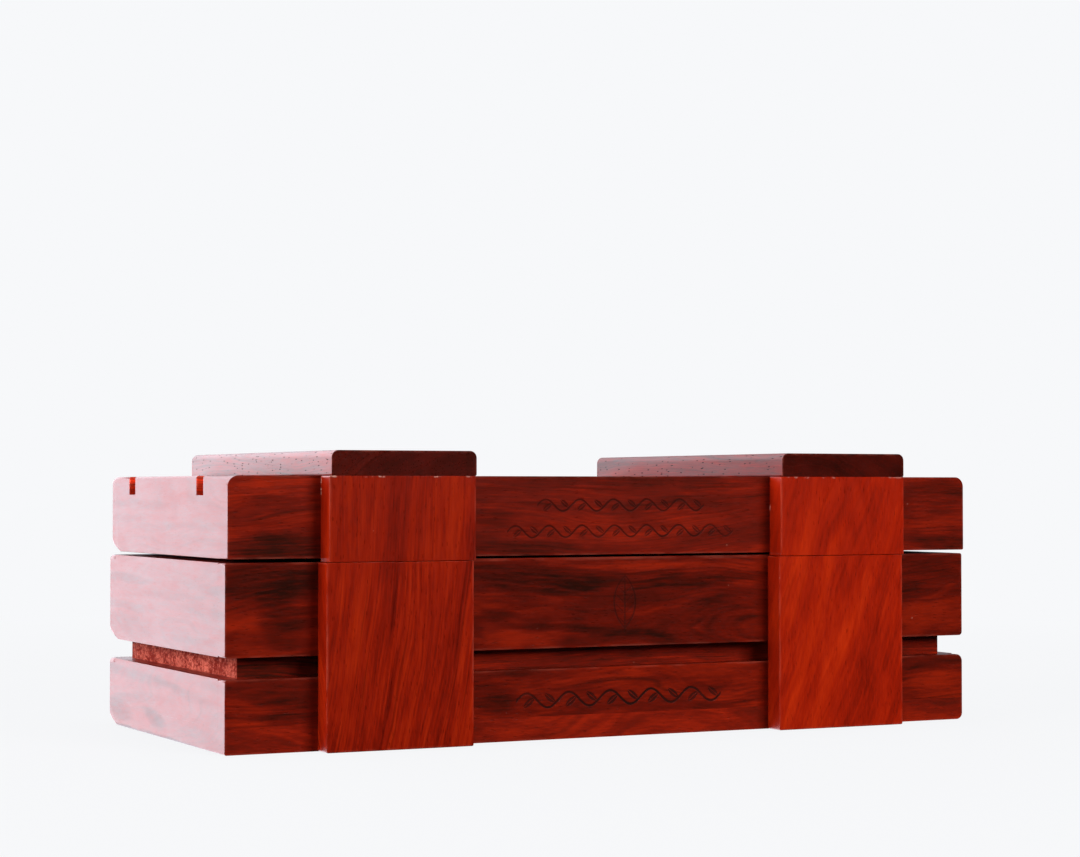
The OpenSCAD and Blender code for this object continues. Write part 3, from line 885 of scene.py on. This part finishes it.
def inflate(piece, glue, thick, tufts):
    """Blows the blank up a little as cloth, held where it is glued or stitched."""
    piece.data.transform(Matrix.Scale(CLOTH_SCALE, 4))
    held = piece.vertex_groups.new(name="glued")
    for vertex in piece.data.vertices:
        x, y, z = [c / CLOTH_SCALE for c in vertex.co]
        glued = abs(z - glue) < 0.3 * thick
        tied = any((x - tuft_x * MM) ** 2 + (y - tuft_y * MM) ** 2 < TUFT_RADIUS ** 2
                   for tuft_x, tuft_y in tufts)
        if glued or tied:
            held.add([vertex.index], 1.0, "REPLACE")
    cloth = piece.modifiers.new("cloth", "CLOTH")
    settings = cloth.settings
    settings.quality = 6
    settings.mass = 0.25
    settings.tension_stiffness = 12
    settings.compression_stiffness = 12
    settings.shear_stiffness = 6
    settings.bending_stiffness = 0.4
    settings.use_pressure = True
    settings.uniform_pressure_force = 5.0
    settings.vertex_group_mass = "glued"
    settings.effector_weights.gravity = 0.0
    scene = bpy.context.scene
    cloth.point_cache.frame_start = scene.frame_start = 1
    cloth.point_cache.frame_end = scene.frame_end = CLOTH_CACHE_END
    for i in range(1, CLOTH_FRAMES + 1):
        scene.frame_set(i)
        bpy.context.view_layer.update()
    apply_modifiers(piece)
    scene.frame_set(1)
    piece.vertex_groups.clear()
    piece.data.transform(Matrix.Scale(1 / CLOTH_SCALE, 4))


def settle(piece, rest, low, high, up, glue, thick, tufts, max_move):
    """Limits the swelling, adds dimples and waves, and keeps the pad in its room."""
    z_low = low.z + (PAD_CLEARANCE if up > 0 else -PAD_FACE_SLACK)
    z_high = high.z - (PAD_CLEARANCE if up < 0 else -PAD_FACE_SLACK)
    for vertex, start in zip(piece.data.vertices, rest):
        move = vertex.co - start
        if move.length > max_move:
            move = move.normalized() * max_move
        point = start + move
        for tuft_x, tuft_y in tufts:
            away = math.hypot(point.x - tuft_x * MM, point.y - tuft_y * MM) / DIMPLE_RADIUS
            if away < 1 and abs(point.z - glue) > 0.4 * thick:
                point.z -= up * (1 - away * away) ** 3 * 0.34 * thick
        # soft waviness of hand-laid suede
        wave = mnoise.noise(Vector((point.x / (26 * MM), point.y / (18 * MM),
                                    3.1 if up > 0 else 7.7)))
        if abs(point.z - glue) > 0.4 * thick:
            point.z += up * wave * 0.16 * MM
        point.x = min(max(point.x, low.x - PAD_SIDE_SLACK), high.x + PAD_SIDE_SLACK)
        point.y = min(max(point.y, low.y - PAD_SIDE_SLACK), high.y + PAD_SIDE_SLACK)
        point.z = min(max(point.z, z_low), z_high)
        vertex.co = point


def make_pad(name, node, body, up, thick, max_move, tufts=()):
    """A foam pad under suede. up = 1 lies on a floor, -1 hangs from a ceiling.
    tufts are the places (mm) where it is stitched down."""
    low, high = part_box(node)
    blank_low, blank_high = low.copy(), high.copy()
    if up > 0:
        glue = low.z
        blank_high.z = glue + thick
    else:
        glue = high.z
        blank_low.z = glue - thick
    piece = rounded_slab(name, blank_low, blank_high)
    remesh = piece.modifiers.new("remesh", "REMESH")
    remesh.mode = "VOXEL"
    remesh.voxel_size = VOXEL
    remesh.adaptivity = 0.0
    apply_modifiers(piece)
    rest = [vertex.co.copy() for vertex in piece.data.vertices]
    inflate(piece, glue, thick, tufts)
    settle(piece, rest, low, high, up, glue, thick, tufts, max_move)
    smooth = piece.modifiers.new("smooth", "SUBSURF")
    smooth.levels = 1
    smooth.render_levels = 1
    apply_modifiers(piece)
    for face in piece.data.polygons:
        face.use_smooth = True
    set_material(piece, SUEDE)
    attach(piece, body)
    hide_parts(node)


make_pad("floor_cushion_suede", "floor_cushion", "body", up=1, thick=4.6 * MM,
         max_move=1.6 * MM, tufts=[(x, 0) for x in (-54, -18, 18, 54)])
make_pad("lid_pad_suede", "lid_pad", "lid", up=-1, thick=1.7 * MM, max_move=0.8 * MM)

# -------------------------------------------------------------------- studio

PALE = srgb(247, 248, 250)
SHEET_X = (-6.0, 8.0)
SHEET_FRONT = -3.0
SHEET_BEND_Y = 3.2              # where the floor starts to turn up
SHEET_BEND_RADIUS = 1.2
SHEET_TOP = 4.0
SHEET_PAINTED_SHADE = 0.06            # painted shade: less glow near the object
SHEET_ALBEDO = 0.03             # light it takes near the object


def sheet_material():
    """An even pale glow, dimmed near the object as painted shade; light on its faint diffuse part
    makes up for the dimming except where real soft shadow falls.
    """
    material = bpy.data.materials.new("studio_sheet")
    tree = emptied_tree(material)
    place = tree.field("ShaderNodeNewGeometry", output="Position")
    near = (place - (0.0, 0.0, 0.0)).length().eased(0.50, 0.16)
    # painted shade: the glow drops near the object
    glow = tree.field("ShaderNodeEmission", {0: PALE, 1: near.muladd(-SHEET_PAINTED_SHADE, 1.0)})
    matt = tree.field("ShaderNodeBsdfDiffuse",
                      {0: tree.mix(near, (0, 0, 0), (SHEET_ALBEDO,) * 3)})
    surface = tree.field("ShaderNodeAddShader", {0: glow, 1: matt})
    tree.node("ShaderNodeOutputMaterial", {0: surface})
    return material


def make_sheet():
    """One sheet: a floor that runs up into a backdrop far behind."""
    radius = SHEET_BEND_RADIUS
    profile = [(SHEET_FRONT, 0.0)]
    for i in range(17):
        angle = math.radians(90 * i / 16)
        profile.append((SHEET_BEND_Y + radius * math.sin(angle),
                        radius - radius * math.cos(angle)))
    profile.append((SHEET_BEND_Y + radius, SHEET_TOP))
    shape = bmesh.new()
    previous = None
    for y, z in profile:
        row = [shape.verts.new((x, y, z)) for x in SHEET_X]
        if previous:
            shape.faces.new((previous[0], previous[1], row[1], row[0]))
        previous = row
    sheet = mesh_object("studio_sheet", shape)
    for face in sheet.data.polygons:
        face.use_smooth = True
    sheet.data.materials.append(sheet_material())
    sheet.visible_glossy = False
    sheet.visible_diffuse = False
    sheet.visible_shadow = False


make_sheet()

# name, place, target, size (m), power (W), colour
LIGHTS = [
    ("key", (0.36, -0.88, 0.42), (0.02, 0, 0.02), 0.42, 10.6, (1.0, 0.97, 0.93)),
    ("fill", (-0.9, -0.9, 0.4), (0, 0, 0.03), 0.8, 3.2, (0.99, 0.97, 0.96)),
    ("left", (-1.1, -0.02, 0.32), (-0.05, 0, 0.03), 0.7, 21.0, (1.0, 0.97, 0.95)),
    ("top", (0.05, 0.05, 0.95), (0, 0, 0), 0.6, 5.0, (1.0, 0.99, 0.98)),
]


def area_light(name, place, target, size, power, color):
    light = bpy.data.lights.new(name, "AREA")
    light.shape = "SQUARE"
    light.size = size
    light.energy = power
    light.color = color
    light.spread = math.pi
    lamp = link_object(name, light)
    lamp.location = place
    toward = Vector(target) - Vector(place)
    lamp.rotation_euler = toward.to_track_quat("-Z", "Y").to_euler()
    lamp.visible_camera = False
    lamp.visible_glossy = False


for row in LIGHTS:
    area_light(*row)


def make_world():
    """Pale to the camera; to the object bright behind it to the left, dim in front."""
    world = bpy.data.worlds.new("studio")
    bpy.context.scene.world = world
    tree = emptied_tree(world)
    camera_ray = tree.field("ShaderNodeLightPath", output="Is Camera Ray")
    seen = tree.field("ShaderNodeBackground", {0: PALE})
    x, y, z = tree.field("ShaderNodeTexCoord", output="Generated").split()
    # degrees from straight behind, to the right
    azimuth = x.apply("ARCTAN2", y) * (180 / math.pi)
    glow = azimuth.eased(-52.0, -26.0) * azimuth.eased(30.0, 0.0) * z.eased(0.80, 0.30)
    back = y.eased(-0.1, 0.5) * z.eased(-0.5, 0.3)
    level = weighted(0.015, (glow, 3.9), (back, 0.5))
    lighting = tree.field("ShaderNodeBackground", {0: (0.88, 0.91, 1.0), 1: level})
    mixed = tree.field("ShaderNodeMixShader", {0: camera_ray, 1: lighting, 2: seen})
    tree.node("ShaderNodeOutputWorld", {0: mixed})


make_world()

# -------------------------------------------------------------------- camera

CAMERA_PLACE = (-0.2569673, -0.5129396, 0.0533297)
CAMERA_YAW = math.radians(26.6109)          # from +Y towards +X
CAMERA_PITCH = math.radians(1.3869)         # upwards
FOCAL_LENGTH = 82.997667                    # mm, on a sensor 36 mm wide


def make_camera():
    data = bpy.data.cameras.new("camera")
    data.sensor_fit = "HORIZONTAL"
    data.sensor_width = 36.0
    data.lens = FOCAL_LENGTH
    data.clip_start = 0.01
    data.clip_end = 50
    camera = link_object("camera", data)
    camera.location = CAMERA_PLACE
    forward = Vector((math.sin(CAMERA_YAW) * math.cos(CAMERA_PITCH),
                      math.cos(CAMERA_YAW) * math.cos(CAMERA_PITCH),
                      math.sin(CAMERA_PITCH)))
    camera.rotation_euler = forward.to_track_quat("-Z", "Y").to_euler()
    bpy.context.scene.camera = camera


make_camera()

view = bpy.context.scene.view_settings
view.view_transform = "Standard"
view.look = "None"
view.exposure = 0.0
view.gamma = 1.0
